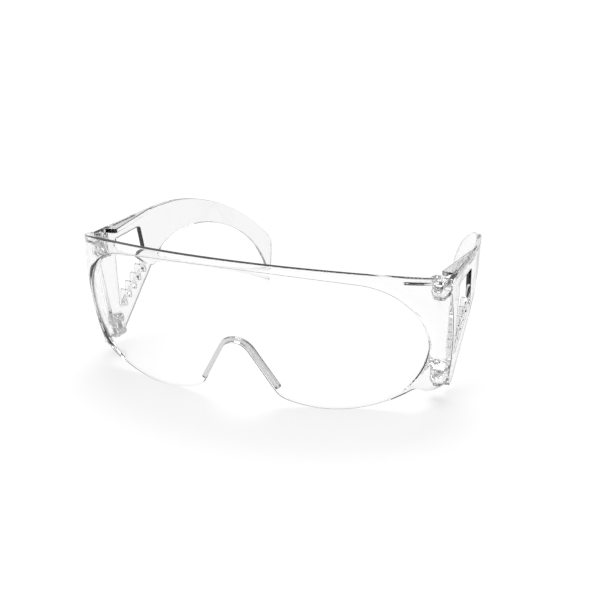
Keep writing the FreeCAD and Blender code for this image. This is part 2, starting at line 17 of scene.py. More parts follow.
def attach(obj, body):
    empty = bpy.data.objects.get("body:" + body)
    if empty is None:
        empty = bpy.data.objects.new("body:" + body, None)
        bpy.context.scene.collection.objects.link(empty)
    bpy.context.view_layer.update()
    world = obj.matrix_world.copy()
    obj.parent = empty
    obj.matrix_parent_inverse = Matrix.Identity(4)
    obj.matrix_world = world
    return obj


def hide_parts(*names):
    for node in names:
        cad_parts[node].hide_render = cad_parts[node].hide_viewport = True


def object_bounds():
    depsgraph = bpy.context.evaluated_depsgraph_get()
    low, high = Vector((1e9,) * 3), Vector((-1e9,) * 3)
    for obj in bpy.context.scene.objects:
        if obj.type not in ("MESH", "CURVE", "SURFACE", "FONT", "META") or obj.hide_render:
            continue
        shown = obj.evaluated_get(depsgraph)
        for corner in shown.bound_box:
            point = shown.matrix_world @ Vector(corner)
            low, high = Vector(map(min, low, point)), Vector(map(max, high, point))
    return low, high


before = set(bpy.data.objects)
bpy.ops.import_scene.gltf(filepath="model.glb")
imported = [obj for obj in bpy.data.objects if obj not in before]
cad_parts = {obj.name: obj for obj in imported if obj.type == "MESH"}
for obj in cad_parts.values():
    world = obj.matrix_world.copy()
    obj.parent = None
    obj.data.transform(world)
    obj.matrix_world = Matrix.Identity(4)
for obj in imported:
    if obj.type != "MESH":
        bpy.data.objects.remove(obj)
CAD_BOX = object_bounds()

# ---------------------------------------------------------------- sizes, in millimetres and degrees
MM = 0.001
HALF_DEPTH = -CAD_BOX[0].y / MM
BROW_HEIGHT = CAD_BOX[1].z / MM

LENS_WALL = 2.4
RECESS_DEPTH = 0.5
RECESS_RAMP = 0.7
LENS_LEAN = 12.5
SIDE_DRAFT = 3.4
BROW_SLOPE = 14.0
FRONT_RADIUS = 118.0
FRONT_HALF = 61.5
FRONT_SWELL = 12.1     # how much larger that radius is at mid-height
HALF_SWELL = 2.6       # how much wider the front arc is at mid-height
CORNER_RADIUS = 25.0
CORNER_END = 86.0

OVAL_HALF = 70.0
OVAL_RADIUS = 26.5
OVAL_HEIGHT = 28.3
OVAL_CROWN = 290.0
OVAL_TOP = 57.9
OVAL_FOOT = -62.0

LOBE_RADIUS = 50.0
LOBE_MIDDLE = 36.0
SIDE_FOOT = 8.5
LUG_FOOT = 6.0
LUG_HALF = 67.5
LUG_SLOPE = 2.0
NOSE_RADIUS = 6.0
NOSE_TOP = 25.8
NOSE_ANGLE = 30.0
NOSE_ROUND = 7.0
FLANGE_WALL = 1.6
FLANGE_DEPTH = 1.8
FLANGE_FLARE = 0.4
GUSSET_WALL = 1.2
GUSSET_DROP = 1.3

HINGE_HALF = 69.8
HINGE_BACK = 36.3
KNUCKLE_RADIUS = 2.2
EAR_WALL = 1.6
EAR_FRONT = 5.0
EAR_OUTSIDE = 4.9
KNUCKLE_GAP = 0.3
PIN_RADIUS = 0.9
PIN_CLEARANCE = 0.06
PIN_HEAD = 0.6
PIN_HEAD_RADIUS = 1.5
HINGES = {"upper": (44.6, 6.2), "lower": (6.8, 7.6)}   # underside, and height over both ears

TEMPLE_WALL = 2.0
TEMPLE_OUTSIDE = 6.2
TEMPLE_HEADING = 4.0
TEMPLE_START = 34.3
TEMPLE_BEND = 78.0
BEND_RADIUS = 115.0
TIP_HEADING = 27.0
PANEL_GAP = 1.2
PANEL_TOP = 50.2
PANEL_FOOT = 3.0
TOP_END = 98.0
TOP_HEIGHT = 47.2
TOP_RADIUS = 67.0
TIP_BACK = 147.5
ARCH_BACK = 110.0
ARCH_HEIGHT = 33.8
ARCH_RADIUS = 49.0
HOOK_RADIUS = 37.5
WINDOW_FRONT = 55.0
WINDOW_FOOT = 14.3
WINDOW_TOP = 43.3
WINDOW_REAR = 74.0
REAR_TOP = 43.2     # height of the window's rear top corner
SILL_REAR = 77.5
SILL_HEIGHT = 27.2
LEDGE_HEIGHT = 48.1
LEDGE_TILT = 2.9
LEDGE_FRONT = 47.0
LEDGE_REAR = 88.0
LEDGE_WIDTH = 6.0
BLADE_COUNT = 5
BLADE_WIDTH = 1.2
BLADE_HEIGHT = 6.0
BLADE_DEPTH = 2.8
ROOT = 1.0          # how far a blade is sunk in its sill

# How much painted shade each surface gets, from 0 to 1. It is a painted reflection of dark surroundings
# that the plastic would show, and which this white studio doesn't have.
CLEAR_PAINTED_SHADE = 0.0
BORDER_PAINTED_SHADE = 0.07
TEMPLE_PAINTED_SHADE = 0.13
PIN_PAINTED_SHADE = 0.15
FLANGE_PAINTED_SHADE = 0.6

STEP = 0.6          # spacing of the points along an outline
SETTLE = 12         # rounds in which an edge's height and its place on the wall settle
QUARTERS = (0, 0.25, 0.5, 0.75)
RIM_STEPS = 4       # faces across a quarter round


# ---------------------------------------------------------------- curves in a flat plane
def xy(*values):
    return np.array(values, float)


def turned(heading):
    return xy(math.cos(math.radians(heading)), math.sin(math.radians(heading)))


def tangent(angle):
    return math.tan(math.radians(angle))


def unit(vector):
    return vector / np.linalg.norm(vector)


def line(start, stop):
    """Points from start up to, but without, stop."""
    count = max(1, round(float(np.linalg.norm(stop - start)) / STEP))
    share = np.linspace(0, 1, count, endpoint=False)[:, None]
    return start + (stop - start) * share


def polygon(corners):
    """A closed loop with straight sides."""
    return np.vstack([line(a, b) for a, b in zip(corners, corners[1:] + corners[:1])])


def arc(centre, radius, start, stop):
    """Points along an arc, without its last one."""
    count = max(3, round(abs(math.radians(stop - start)) * radius / STEP))
    angle = np.radians(np.linspace(start, stop, count, endpoint=False))
    return centre + radius * np.stack([np.cos(angle), np.sin(angle)], -1)


def arc_through(start, middle, stop):
    """The same, through three points."""
    a, b = middle - start, stop - start
    cross = 2 * (a[0] * b[1] - a[1] * b[0])
    offset = xy(b[1] * a.dot(a) - a[1] * b.dot(b), a[0] * b.dot(b) - b[0] * a.dot(a)) / cross
    first, last = (math.degrees(math.atan2(*(p - start - offset)[::-1])) for p in (start, stop))
    turn = (last - first) % 360 if cross > 0 else -((first - last) % 360)
    return arc(start + offset, float(np.linalg.norm(offset)), first, first + turn)


def evenly(loop, step=STEP):
    """A closed loop with its points spaced evenly."""
    closed = np.vstack([loop, loop[:1]])
    reach = np.concatenate([[0], np.cumsum(np.linalg.norm(np.diff(closed, axis=0), axis=1))])
    where = np.linspace(0, reach[-1], max(12, round(reach[-1] / step)), endpoint=False)
    return np.stack([np.interp(where, reach, closed[:, axis]) for axis in (0, 1)], -1)


def softened(loop, rounds, step=STEP):
    """A closed loop whose corners are rounded, as a moulding's are."""
    loop = evenly(loop, step)
    for _ in range(rounds):
        loop = (np.roll(loop, 1, 0) + 2 * loop + np.roll(loop, -1, 0)) / 4
    return loop


def sideways(loop):
    """Unit vectors to the left of a closed loop, which is where its material lies."""
    run = np.roll(loop, -1, 0) - np.roll(loop, 1, 0)
    run /= np.linalg.norm(run, axis=1)[:, None]
    return np.stack([-run[:, 1], run[:, 0]], -1)


def inside(points, loop):
    """Whether each point is inside a closed loop."""
    following = np.roll(loop, -1, 0)
    found = np.zeros(len(points), bool)
    for (x1, y1), (x2, y2) in zip(loop, following):
        if y1 == y2:
            continue
        crosses = (points[:, 1] < y1) != (points[:, 1] < y2)
        found ^= crosses & (points[:, 0] < x1 + (points[:, 1] - y1) * (x2 - x1) / (y2 - y1))
    return found


def nearest(points, others):
    """Distance from each point to the nearest of some others."""
    found = np.full(len(points), np.inf)
    for part in np.array_split(np.arange(len(others)), max(1, len(others) // 400)):
        gap = np.linalg.norm(points[:, None] - others[part][None], axis=2)
        found = np.minimum(found, gap.min(1))
    return found


def smooth(value):
    value = np.clip(value, 0, 1)
    return value * value * (3 - 2 * value)


# ---------------------------------------------------------------- meshes
def new_piece(name, points, faces):
    """An object in metres from points in millimetres, with its faces turned outward."""
    mesh = bpy.data.meshes.new(name)
    place = (np.asarray(points) - (0, HALF_DEPTH, 0)) * MM
    mesh.from_pydata([tuple(point) for point in place], [], faces)
    work = bmesh.new()
    work.from_mesh(mesh)
    bmesh.ops.recalc_face_normals(work, faces=work.faces)
    work.to_mesh(mesh)
    work.free()
    piece = bpy.data.objects.new(name, mesh)
    bpy.context.scene.collection.objects.link(piece)
    return piece


def filled(loops, lines, spacing):
    """Points and triangles that fill the first loop, without the others, and keep to the lines."""
    low, high = loops[0].min(0), loops[0].max(0)
    rows = np.arange(low[1] + spacing / 2, high[1], spacing * math.sqrt(0.75))
    columns = np.arange(low[0] + spacing / 2, high[0], spacing)
    grid = np.array([(u + spacing / 2 * (row % 2), v) for row, v in enumerate(rows) for u in columns])
    fixed = np.vstack([*loops, *lines]) if lines else np.vstack(loops)
    keep = inside(grid, loops[0]) & (nearest(grid, fixed) > spacing * 0.55)
    for hole in loops[1:]:
        keep &= ~inside(grid, hole)
    points = np.vstack([fixed, grid[keep]])
    edges = []
    base = 0
    for loop in loops:
        edges += [(base + i, base + (i + 1) % len(loop)) for i in range(len(loop))]
        base += len(loop)
    for run in lines:
        edges += [(base + i, base + i + 1) for i in range(len(run) - 1)]
        base += len(run)
    made = delaunay_2d_cdt([Vector(point) for point in points], edges, [], 0, 1e-7)
    origin = [source[0] if source else -1 for source in made[3]]
    triangles = np.array([[origin[corner] for corner in face] for face in made[2]])
    triangles = triangles[(triangles >= 0).all(1)]
    middle = points[triangles].mean(1)
    wanted = inside(middle, loops[0])
    for hole in loops[1:]:
        wanted &= ~inside(middle, hole)
    return points, triangles[wanted]


def plate(name, loops, place, thickness, rim, front=None, back=None, lines=(), spacing=2.0):
    """A closed plate with rounded rims. loops are its outline and holes in the flat, each with its
    material on its left, and place(points, depth) bends it onto its wall."""
    insets = [loop + sideways(loop) * rim for loop in loops]
    guards = [np.vstack([ring, ring[:1]]) for ring in (loop + sideways(loop) * (rim + 0.2) for loop in loops)]
    flat, triangles = filled(insets, list(lines) + guards, spacing)
    shallow = front(flat) if front else np.zeros(len(flat))
    deep = back(flat) if back else np.full(len(flat), thickness)
    count = len(flat)
    points = [place(flat, shallow), place(flat, deep)]
    faces = [tuple(face) for face in triangles] + [tuple(face[::-1] + count) for face in triangles]
    total = 2 * count
    first = 0
    quarters = [math.radians(90 * step / RIM_STEPS) for step in range(1, RIM_STEPS + 1)]
    for loop, inset in zip(loops, insets):
        size = len(loop)
        near, far = shallow[first:first + size], deep[first:first + size]
        rings = [np.arange(first, first + size)]
        rounds = [(angle, near + rim * (1 - math.cos(angle))) for angle in quarters]
        rounds += [(angle, far - rim * (1 - math.cos(angle))) for angle in quarters[::-1]]
        for angle, depth in rounds:
            points.append(place(loop + (inset - loop) * (1 - math.sin(angle)), depth))
            rings.append(np.arange(total, total + size))
            total += size
        rings.append(np.arange(first, first + size) + count)
        for here, there in zip(rings, rings[1:]):
            faces += [(here[i], here[(i + 1) % size], there[(i + 1) % size], there[i]) for i in range(size)]
        first += size
    return new_piece(name, np.vstack(points), faces)


def united(piece, tools):
    """Join closed meshes into one skin."""
    group = bpy.data.collections.new(piece.name + "_tools")
    bpy.context.scene.collection.children.link(group)
    for tool in tools:
        group.objects.link(tool)
    union = piece.modifiers.new("union", "BOOLEAN")
    union.operation = "UNION"
    union.solver = "EXACT"
    union.operand_type = "COLLECTION"
    union.collection = group
    bpy.context.view_layer.update()
    made = bpy.data.meshes.new_from_object(piece.evaluated_get(bpy.context.evaluated_depsgraph_get()))
    piece.modifiers.clear()
    piece.data = made
    for tool in tools:
        bpy.data.objects.remove(tool)
    bpy.data.collections.remove(group)
    return piece


def shade(piece, crease=38):
    """Shade a piece smooth but for its creases."""
    for face in piece.data.polygons:
        face.use_smooth = True
    piece.data.set_sharp_from_angle(angle=math.radians(crease))


# ---------------------------------------------------------------- the lens
def lens_shift(height):
    return (BROW_HEIGHT - height) * tangent(LENS_LEAN)


def side_shift(height):
    return (BROW_HEIGHT - height) * tangent(SIDE_DRAFT)


def swell(height):
    """How much of the lens's barrel swell there is, at a height: none at the brow and the table."""
    middle = BROW_HEIGHT / 2
    return 1 - ((height - middle) / middle) ** 2


def lens_turn(height):
    """The front arc at a height: how far it turns, in radians, its half width and its radius."""
    half = FRONT_HALF - side_shift(height) + HALF_SWELL * swell(height)
    radius = FRONT_RADIUS + FRONT_SWELL * swell(height)
    return np.arcsin(half / radius), half, radius


def lens_place(flat, depth):
    """Flat points of the lens, along its wall and up, on the leaning wall."""
    along, height = flat[:, 0], flat[:, 1]
    turn, _, wide = lens_turn(height)
    seam = wide * turn
    reach = np.abs(along)
    front = reach <= seam
    angle = np.where(front, reach / wide, turn + (reach - seam) / CORNER_RADIUS)
    radius = np.where(front, wide, CORNER_RADIUS)
    spare = wide - radius
    x = spare * np.sin(turn) + (radius - depth) * np.sin(angle)
    y = wide - spare * np.cos(turn) - (radius - depth) * np.cos(angle)
    return np.stack([np.sign(along) * x, y + lens_shift(height), height], -1)


def unrolled(points):
    """Points of the front view, across and up, as flat points of the lens."""
    x, height = points[:, 0], points[:, 1]
    turn, half, wide = lens_turn(height)
    middle = (wide - CORNER_RADIUS) * np.sin(turn)
    corner = np.arcsin(np.clip((np.abs(x) - middle) / CORNER_RADIUS, -1, 1))
    reach = np.where(np.abs(x) <= half, wide * np.arcsin(np.clip(np.abs(x) / wide, 0, 1)),
                     wide * turn + CORNER_RADIUS * (corner - turn))
    return np.stack([np.sign(x) * reach, height], -1)


def wall_end(height):
    """How far along the wall it ends, at a height."""
    turn, _, wide = lens_turn(height)
    return wide * turn + CORNER_RADIUS * (math.radians(CORNER_END) - turn)


def nose_path():
    """Right half of the notch and its rounding in the front view: points, and where the leg ends."""
    out = turned(NOSE_ANGLE)
    down = turned(NOSE_ANGLE - 90)
    middle = xy(0, NOSE_TOP - NOSE_RADIUS)
    side = middle + out * NOSE_RADIUS
    lobe = xy(LOBE_MIDDLE, LOBE_RADIUS)
    near = LOBE_RADIUS - NOSE_ROUND
    start = side + out * NOSE_ROUND - lobe
    run = -start.dot(down) + math.sqrt(start.dot(down) ** 2 - start.dot(start) + near ** 2)
    centre = lobe + start + down * run
    away = unit(centre - lobe)
    last = math.degrees(math.atan2(away[1], away[0])) % 360
    leg_end = centre - out * NOSE_ROUND
    notch = np.vstack([arc(middle, NOSE_RADIUS, 90, NOSE_ANGLE), line(side, leg_end)])
    return notch, arc(centre, NOSE_ROUND, 180 + NOSE_ANGLE, last), last


def mirrored(points):
    return points[::-1] * (-1, 1)


def lens_outline():
    """The lens's outline as flat points, anticlockwise from the top of the notch."""
    notch, rounding, start = nose_path()
    lobe_end = xy(LOBE_MIDDLE + math.sqrt(LOBE_RADIUS ** 2 - (LOBE_RADIUS - SIDE_FOOT) ** 2), SIDE_FOOT)
    lobe = xy(LOBE_MIDDLE, LOBE_RADIUS)
    stop = 360 - math.degrees(math.atan2(lobe[1] - lobe_end[1], lobe_end[0] - lobe[0]))
    low = unrolled(np.vstack([notch, rounding, arc(lobe, LOBE_RADIUS, start, stop)]))
    step, lug = unrolled(np.array([xy(LUG_HALF - LUG_SLOPE, SIDE_FOOT), xy(LUG_HALF, LUG_FOOT)]))
    foot = np.vstack([line(unrolled(lobe_end[None])[0], step), line(step, lug),
                      line(lug, xy(wall_end(LUG_FOOT), LUG_FOOT))])
    reach = np.linspace(wall_end(BROW_HEIGHT - 10), 0, 200)
    brow = np.stack([reach, np.full(len(reach), BROW_HEIGHT)], -1)
    for _ in range(SETTLE):
        brow[:, 1] = BROW_HEIGHT - lens_place(brow, 0)[:, 1] * tangent(BROW_SLOPE)
    heights = np.linspace(LUG_FOOT, brow[0, 1], 70, endpoint=False)
    end = np.stack([wall_end(heights), heights], -1)
    right = np.vstack([low, foot, end, brow])
    return softened(np.vstack([right, mirrored(right)[1:-1]]), 8)


def oval_line(offset):
    """The edge of the optical zone in the front view, moved inward, from its right foot to its left."""
    radius = OVAL_RADIUS - offset
    centre = xy(OVAL_HALF - OVAL_RADIUS, OVAL_HEIGHT)
    crown = xy(0, OVAL_TOP - OVAL_CROWN)
    join = math.degrees(math.atan2(*(centre - crown)[::-1]))
    crown_radius = float(np.linalg.norm(centre - crown)) + radius
    foot = centre + turned(OVAL_FOOT) * radius
    right = np.vstack([line(xy(foot[0], -20), foot), arc(centre, radius, OVAL_FOOT, join),
                       arc(crown, crown_radius, join, 90)])
    return np.vstack([right, mirrored(right)])


def closed_below(edge):
    """The optical zone's edge, closed into a loop well below the table."""
    low = -40
    return np.vstack([edge, xy(-OVAL_HALF, low)[None], xy(OVAL_HALF, low)[None]])


def make_lens():
    outline = lens_outline()
    edge = unrolled(oval_line(0))
    border = closed_below(edge)
    dense = np.vstack([edge[:-1] + (edge[1:] - edge[:-1]) * share for share in QUARTERS])

    def front(flat):
        depth = nearest(flat, dense) * np.where(inside(flat, border), 1, 0)
        return RECESS_DEPTH * smooth(depth / RECESS_RAMP)

    margin = 1.6
    inner = outline + sideways(outline) * margin
    lines = []
    for share in (*QUARTERS, 1):
        run = unrolled(oval_line(share * RECESS_RAMP))
        lines.append(run[inside(run, inner)])
    lens = plate("lens", [outline], lens_place, LENS_WALL, 0.3, front=front, lines=lines)
    tools = [nose_flange()]
    for side in (1, -1):
        tools.append(gusset(side))
        for where, (low, span) in HINGES.items():
            tools.append(ear(side, low, where + "_below"))
            tools.append(ear(side, low + span - EAR_WALL, where + "_above"))
    return united(lens, tools)


def nose_flange():
    """A wall round the notch that stands out behind the lens and flares towards its free edge."""
    notch, _, _ = nose_path()
    path = np.vstack([notch[::-1], notch[1:] * (-1, 1)])
    reach = np.concatenate([[0], np.cumsum(np.linalg.norm(np.diff(path, axis=0), axis=1))])
    run = np.gradient(path, axis=0)
    run /= np.linalg.norm(run, axis=1)[:, None]
    normal = np.stack([run[:, 1], -run[:, 0]], -1)
    root = LENS_WALL / 2 + 0.4
    free = LENS_WALL + FLANGE_DEPTH

    def place(flat, depth):
        along = np.clip(flat[:, 0], 0, reach[-1])
        base = np.stack([np.interp(along, reach, path[:, axis]) for axis in (0, 1)], -1)
        away = np.stack([np.interp(along, reach, normal[:, axis]) for axis in (0, 1)], -1)
        flare = FLANGE_FLARE * smooth((flat[:, 1] - LENS_WALL) / FLANGE_DEPTH)
        base = base + away * (np.asarray(depth) + 0.15 + flare)[:, None]
        _, _, wide = lens_turn(base[:, 1])
        y = wide - np.sqrt(wide ** 2 - base[:, 0] ** 2) + lens_shift(base[:, 1])
        return np.stack([base[:, 0], y + flat[:, 1], base[:, 1]], -1)

    corners = [xy(0.3, root), xy(reach[-1] - 0.3, root), xy(reach[-1] - 0.3, free), xy(0.3, free)]
    loop = polygon(corners)
    return plate("nose_flange", [softened(loop, 2)], place, FLANGE_WALL, 0.15, spacing=1.0)


def hinge_point(side, height):
    return xy(side * (HINGE_HALF - side_shift(height)), HINGE_BACK + lens_shift(height), height)


def hinge_frame(side):
    """Unit vectors across, backwards and up, square to a hinge axis and along it."""
    up = unit(hinge_point(side, 1.0) - hinge_point(side, 0.0))
    across = unit(np.cross(xy(0, 1, 0), up))
    return across, np.cross(up, across), up


def on_hinge(side, height):
    """A place function for plates that lie square to a hinge axis, from a height on it."""
    across, back, up = hinge_frame(side)
    origin = hinge_point(side, height)

    def place(flat, depth):
        return origin + flat[:, :1] * across + flat[:, 1:] * back + np.asarray(depth)[:, None] * up

    return place


def bore(radius):
    """A round hole, clockwise, so that its material is on its left."""
    return evenly(arc(xy(0, 0), radius, 0, 360), 0.25)[::-1]


def gusset_height(y):
    """Height of a gusset's underside, which falls to the rear as the brow does."""
    return BROW_HEIGHT - GUSSET_DROP - GUSSET_WALL - y * tangent(BROW_SLOPE)


def gusset(side):
    """The sloping web across the inside of a top corner."""
    turn, _, wide = lens_turn(BROW_HEIGHT)
    reach = np.linspace(wide * turn, wall_end(BROW_HEIGHT) - 0.6, 40)
    edge = np.stack([reach, np.full(len(reach), BROW_HEIGHT)], -1)
    for _ in range(SETTLE):
        edge[:, 1] = gusset_height(lens_place(edge, LENS_WALL / 2)[:, 1])
    wall = lens_place(edge, LENS_WALL / 2)[:, :2]
    hinge = hinge_point(1, edge[-1, 1])[:2]
    chord = hinge - KNUCKLE_RADIUS
    loop = np.vstack([wall, line(wall[-1], chord), line(chord, wall[0])])

    def place(flat, depth):
        return np.stack([side * flat[:, 0], flat[:, 1], gusset_height(flat[:, 1]) + np.asarray(depth)], -1)

    return plate("gusset", [softened(loop, 3)], place, GUSSET_WALL, 0.35, spacing=1.5)


def handed(loop, side):
    """A plan of the left side, turned into the right side's, still anticlockwise."""
    return loop if side > 0 else loop[::-1] * (-1, 1)


def ear(side, height, name):
    """One of the lens's hinge ears, from inside the end of the lens wall, with the pin's hole."""
    radius = KNUCKLE_RADIUS
    corners = [xy(-radius, 0), xy(-radius, -radius / 2), xy(0, -EAR_FRONT), xy(EAR_OUTSIDE - 1, -EAR_FRONT),
               xy(EAR_OUTSIDE, 0), turned(45) * radius]
    loop = np.vstack([line(a, b) for a, b in zip(corners, corners[1:])] + [arc(xy(0, 0), radius, 45, 180)])
    loops = [handed(softened(loop, 1, 0.3), side), bore(PIN_RADIUS)]
    return plate("ear_" + name, loops, on_hinge(side, height), EAR_WALL, 0.25, spacing=0.8)


# ---------------------------------------------------------------- the temples
def temple_run():
    """The corners of a temple's plan: start, bend's start, its centre and its end, and two lengths."""
    start = xy(HINGE_HALF + TEMPLE_OUTSIDE, TEMPLE_START)
    first, last = 90 + TEMPLE_HEADING, 90 + TIP_HEADING
    straight = (TEMPLE_BEND - TEMPLE_START) / math.sin(math.radians(first))
    bend = start + turned(first) * straight
    centre = bend + turned(first + 90) * BEND_RADIUS
    end = centre + turned(last - 90) * BEND_RADIUS
    return start, centre, end, straight, BEND_RADIUS * math.radians(last - first)


def temple_place(side):
    """The place function of a temple: flat points lie along its wall and up."""
    start, centre, end, straight, curve = temple_run()
    first = 90 + TEMPLE_HEADING

    def place(flat, depth):
        along, height = flat[:, 0], flat[:, 1]
        bent = np.clip(along - straight, 0, curve)
        heading = np.radians(first) + bent / BEND_RADIUS
        ahead = np.stack([np.cos(heading), np.sin(heading)], -1)
        inward = np.stack([-ahead[:, 1], ahead[:, 0]], -1)
        base = np.where((along <= straight)[:, None], start + along[:, None] * turned(first),
                        centre - inward * BEND_RADIUS)
        past = np.maximum(along - straight - curve, 0)
        base = base + ahead * past[:, None] + inward * np.asarray(depth)[:, None]
        return np.stack([side * (base[:, 0] - side_shift(height)), base[:, 1], height], -1)

    return place


def along_temple(points):
    """Points of the side view, backwards and up, as flat points of a temple."""
    start, centre, end, straight, curve = temple_run()
    y = points[:, 0]
    first, last = 90 + TEMPLE_HEADING, 90 + TIP_HEADING
    ahead = (y - start[1]) / math.sin(math.radians(first))
    angle = 90 + np.degrees(np.arcsin(np.clip((y - centre[1]) / BEND_RADIUS, -1, 1)))
    bent = straight + BEND_RADIUS * np.radians(angle - first)
    past = straight + curve + (y - end[1]) / math.sin(math.radians(last))
    reach = np.where(y <= TEMPLE_BEND, ahead, np.where(y <= end[1], bent, past))
    return np.stack([reach, points[:, 1]], -1)


def temple_outline():
    """The side view: a tall front panel, an arched band over the ear and a hook behind it."""
    top_start, top_stop = 86.8, 34     # headings from the top arc's centre
    hook_stop, arch_stop = 10, 128     # the same for the arch's two arcs
    front_top = xy(hinge_point(1, PANEL_TOP)[1] + PANEL_GAP, PANEL_TOP)
    front_foot = xy(hinge_point(1, PANEL_FOOT)[1] + PANEL_GAP, PANEL_FOOT)
    panel_foot = front_foot + xy(3.5, -0.6)
    top_end = xy(TOP_END, TOP_HEIGHT)
    top_centre = top_end + turned(top_start - 180) * TOP_RADIUS
    fall_end = top_centre + turned(top_stop) * TOP_RADIUS
    tip = xy(TIP_BACK, 0)
    hook_back = xy(149.3, 8.5)
    peak = xy(ARCH_BACK, ARCH_HEIGHT)
    hook_centre = peak - xy(0, HOOK_RADIUS)
    hook_end = hook_centre + turned(hook_stop) * HOOK_RADIUS
    arch_centre = peak - xy(0, ARCH_RADIUS)
    arch_end = arch_centre + turned(arch_stop) * ARCH_RADIUS
    return np.vstack([
        line(front_top, top_end), arc(top_centre, TOP_RADIUS, top_start, top_stop),
        arc_through(fall_end, hook_back, tip), line(tip, hook_end),
        arc(hook_centre, HOOK_RADIUS, hook_stop, 90), arc(arch_centre, ARCH_RADIUS, 90, arch_stop),
        line(arch_end, panel_foot), line(panel_foot, front_foot), line(front_foot, front_top)])


def window_corners():
    """The vent window in the side view: front foot, rear foot, rear top, front top."""
    return [xy(WINDOW_FRONT, WINDOW_FOOT), xy(SILL_REAR, SILL_HEIGHT),
            xy(WINDOW_REAR, REAR_TOP), xy(WINDOW_FRONT, WINDOW_TOP)]


def make_temple(side, name):
    outline = softened(along_temple(temple_outline()[::-1]), 4)
    corners = window_corners()
    window = polygon(corners)
    hole = softened(along_temple(window[::-1]), 3)
    temple = plate(name, [outline, hole], temple_place(side), TEMPLE_WALL, 0.25)
    tools = [ledge(side)]
    tools += [blade(side, number) for number in range(BLADE_COUNT)]
    tools += [knuckle(side, where) for where in HINGES]
    return united(temple, tools)


def panel_face(y, height):
    """How far out the panel's outer face is, at a place of its flat side."""
    return HINGE_HALF + TEMPLE_OUTSIDE - side_shift(height) - (y - TEMPLE_START) * tangent(TEMPLE_HEADING)


def ledge(side):
    """The inward ledge along the top of the front panel, which narrows to nothing at the rear."""
    outer = panel_face(LEDGE_FRONT, LEDGE_HEIGHT) - 0.55
    last = panel_face(LEDGE_REAR, LEDGE_HEIGHT) - 1.3
    corners = [xy(outer, 0), xy(last, LEDGE_REAR - LEDGE_FRONT), xy(outer - LEDGE_WIDTH, 1.5)]
    loop = polygon(corners)

    def place(flat, depth):
        height = LEDGE_HEIGHT + np.asarray(depth) - flat[:, 1] * tangent(LEDGE_TILT)
        return np.stack([side * flat[:, 0], LEDGE_FRONT + flat[:, 1], height], -1)

    return plate("ledge", [softened(loop, 2)], place, TEMPLE_WALL - 0.1, 0.4, spacing=1.5)


def blade(side, number):
    """One upright vent blade on the window's slanting sill."""
    foot, rear = window_corners()[:2]
    sill = (rear[1] - foot[1]) / (rear[0] - foot[0])
    pitch = (rear[0] - foot[0]) / (BLADE_COUNT + 0.5)
    y = foot[0] + pitch * (number + 0.5)
    base = foot[1] + sill * (y - foot[0]) - ROOT
    outer = panel_face(y, base) - 0.45
    top = BLADE_HEIGHT + ROOT
    corners = [xy(0, 0), xy(BLADE_DEPTH, 0), xy(BLADE_DEPTH, top), xy(0, top)]
    loop = polygon(corners)

    def place(flat, depth):
        x = outer - flat[:, 0] + flat[:, 1] * tangent(SIDE_DRAFT)
        return np.stack([side * x, y + np.asarray(depth), base + flat[:, 1]], -1)

    return plate("blade_%d" % number, [softened(loop, 2, 0.4)], place, BLADE_WIDTH, 0.3, spacing=1.0)


def knuckle(side, where):
    """A temple's knuckle, between the lens's two ears, with its web to the panel."""
    low, span = HINGES[where]
    radius = KNUCKLE_RADIUS
    skip = EAR_WALL + KNUCKLE_GAP
    axis = hinge_point(1, low + skip)
    reach = panel_face(axis[1], low + skip) - axis[0] - 0.9
    web_front, web_back = 1.5, 6.5
    corners = [xy(reach, web_front), xy(reach, web_back), xy(reach - radius, web_back), xy(0, radius)]
    loop = np.vstack([line(turned(40) * radius, corners[0])]
                     + [line(a, b) for a, b in zip(corners, corners[1:])] + [arc(xy(0, 0), radius, 90, 400)])
    loops = [handed(softened(loop, 1, 0.3), side), bore(PIN_RADIUS + PIN_CLEARANCE)]
    length = span - 2 * skip
    return plate("knuckle_" + where, loops, on_hinge(side, low + skip), length, 0.25, spacing=0.8)


# ---------------------------------------------------------------- the hinge pins
def make_pin(side, where, name):
    """A hinge pin with two low domed heads, turned round its axis."""
    low, span = HINGES[where]
    across, back, up = hinge_frame(side)
    shank = (span - EAR_WALL) / up[2] + EAR_WALL
    angles = [math.radians(90 * step / RIM_STEPS) for step in range(RIM_STEPS + 1)]
    dome = [(PIN_HEAD_RADIUS * math.sin(angle), PIN_HEAD * math.cos(angle)) for angle in angles[1:]]
    profile = [(radius, -rise) for radius, rise in dome] + [(PIN_RADIUS, 0.02), (PIN_RADIUS, shank - 0.02)]
    profile += [(radius, shank + rise) for radius, rise in dome[::-1]]
    count = 32
    turns = np.radians(np.arange(count) * 360 / count)
    spokes = np.cos(turns)[:, None] * across + np.sin(turns)[:, None] * back
    origin = hinge_point(side, low)
    points = [origin - PIN_HEAD * up]
    points += [origin + radius * spoke + rise * up for radius, rise in profile for spoke in spokes]
    points.append(origin + (shank + PIN_HEAD) * up)
    faces = []
    for ring in range(len(profile) - 1):
        base = 1 + ring * count
        for i in range(count):
            j = (i + 1) % count
            faces.append((base + i, base + j, base + count + j, base + count + i))
    top = 1 + (len(profile) - 1) * count
    faces += [(0, 1 + (i + 1) % count, 1 + i) for i in range(count)]
    faces += [(len(points) - 1, top + i, top + (i + 1) % count) for i in range(count)]
    return new_piece(name, points, faces)


